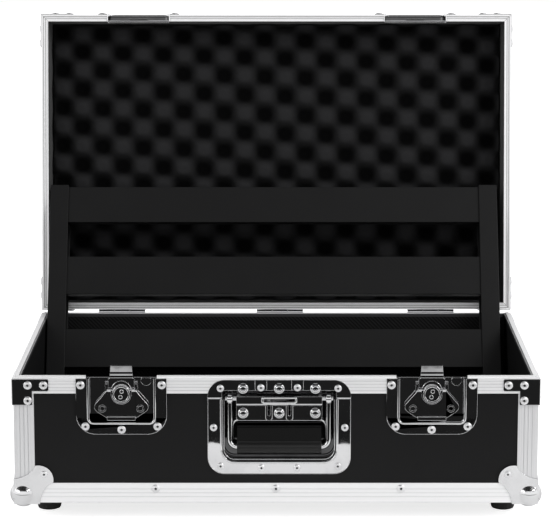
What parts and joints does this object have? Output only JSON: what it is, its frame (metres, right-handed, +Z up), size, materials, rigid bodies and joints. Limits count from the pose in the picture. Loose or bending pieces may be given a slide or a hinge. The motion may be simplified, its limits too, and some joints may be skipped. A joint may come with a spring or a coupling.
{
  "type": "guitar pedal case",
  "caption": "Flight case with hinged foam-lined lid, butterfly latches and a recessed spring handle, with a slatted pedalboard standing inside.",
  "frame": {"origin": "on the ground, under the middle of the case with its lid open", "axes": "+X to the right seen from the handle side, +Y to the hinges, +Z up"},
  "size_m": [0.6608, 0.5567, 0.5931],
  "materials": {
    "laminate": "black laminate over plywood, fine satin grain",
    "aluminium": "drawn, clear anodised, fine ribs along its length",
    "chrome": "bright chrome plated steel",
    "grip_rubber": "moulded black, a glossy facet over a satin roll",
    "foot_rubber": "matt black",
    "lining": "thin dark lining",
    "foam": "open-cell charcoal foam, egg-crate face",
    "board": "folded aluminium, black satin powder coat"
  },
  "bodies": {
    "base": {"base_ball_corners": "chrome", "base_bottom_extrusions": "aluminium", "base_bottom_panel": "laminate", "base_corner_braces": "chrome", "base_corner_extrusions": "aluminium", "base_feet": "foot_rubber", "base_floor_pad": "lining", "base_front_panel": "laminate", "base_front_rim": "aluminium", "base_left_panel": "laminate", "base_left_rim": "aluminium", "base_lining": "lining", "base_rear_panel": "laminate", "base_rear_rim": "aluminium", "base_right_panel": "laminate", "base_right_rim": "aluminium", "base_rivets": "chrome", "handle_axle": "chrome", "handle_bolts": "chrome", "handle_bracket": "chrome", "handle_dish": "chrome", "handle_rivets": "chrome", "handle_springs": "chrome", "hinge_base_leaves": "chrome", "hinge_pins": "chrome", "latch_left_dish": "chrome", "latch_right_dish": "chrome"},
    "lid": {"hinge_lid_leaves": "chrome", "lid_ball_corners": "chrome", "lid_corner_braces": "chrome", "lid_corner_extrusions": "aluminium", "lid_edge_extrusions": "aluminium", "lid_foam": "foam", "lid_front_panel": "laminate", "lid_left_catch_dish": "chrome", "lid_left_panel": "laminate", "lid_lining": "lining", "lid_rear_panel": "laminate", "lid_right_catch_dish": "chrome", "lid_right_panel": "laminate", "lid_rim_extrusions": "aluminium", "lid_rivets": "chrome", "lid_top_panel": "laminate"},
    "board": {"board_feet": "foot_rubber", "board_front_bar": "board", "board_left_rail": "board", "board_lower_slat": "board", "board_middle_slat": "board", "board_right_rail": "board", "board_upper_slat": "board"},
    "handle": {"handle_bail": "chrome", "handle_grip": "grip_rubber"},
    "latch_left_rotor_body": {"latch_left_rotor": "chrome"},
    "latch_left_wing_body": {"latch_left_wing": "chrome"},
    "latch_left_hasp_body": {"latch_left_hasp": "chrome"},
    "latch_right_rotor_body": {"latch_right_rotor": "chrome"},
    "latch_right_wing_body": {"latch_right_wing": "chrome"},
    "latch_right_hasp_body": {"latch_right_hasp": "chrome"}
  },
  "joints": [
    {"name": "lid_hinge", "type": "hinge", "parent": "base", "child": "lid", "pos_m": [0, 0.13851, 0.1836], "axis": [1, 0, 0], "range_deg": [0, 97.9]},
    {"name": "board_slide", "type": "slide", "parent": "lid", "child": "board", "axis": [0, -0.0017, 1], "range_m": [0, 0.208]},
    {"name": "handle_fold", "type": "hinge", "parent": "base", "child": "handle", "pos_m": [0.004, -0.26459, 0.1557], "axis": [1, 0, 0], "range_deg": [-90, 0], "stiffness_Nm_per_rad": 0.3, "springref_deg": 17.19},
    {"name": "latch_left_turn", "type": "hinge", "parent": "base", "child": "latch_left_rotor_body", "pos_m": [-0.1905, -0.27139, 0.1631], "axis": [0, 1, 0], "range_deg": [0, 180]},
    {"name": "latch_left_draw", "type": "slide", "parent": "base", "child": "latch_left_hasp_body", "axis": [0, 0, -1], "range_m": [0, 0.008]},
    {"name": "latch_left_wing_fold", "type": "hinge", "parent": "latch_left_rotor_body", "child": "latch_left_wing_body", "pos_m": [-0.1905, -0.27189, 0.1683], "axis": [-1, 0, 0], "range_deg": [0, 90]},
    {"name": "latch_right_turn", "type": "hinge", "parent": "base", "child": "latch_right_rotor_body", "pos_m": [0.1921, -0.27139, 0.1631], "axis": [0, 1, 0], "range_deg": [0, 180]},
    {"name": "latch_right_draw", "type": "slide", "parent": "base", "child": "latch_right_hasp_body", "axis": [0, 0, -1], "range_m": [0, 0.008]},
    {"name": "latch_right_wing_fold", "type": "hinge", "parent": "latch_right_rotor_body", "child": "latch_right_wing_body", "pos_m": [0.1921, -0.27189, 0.1683], "axis": [-1, 0, 0], "range_deg": [0, 90]}
  ],
  "couplings": [
    {"joint": "board_slide", "follows": "lid_hinge", "m_per_rad": 0.12172},
    {"joint": "latch_left_draw", "follows": "latch_left_turn", "m_per_rad": 0.0025462},
    {"joint": "latch_right_draw", "follows": "latch_right_turn", "m_per_rad": 0.0025462}
  ]
}
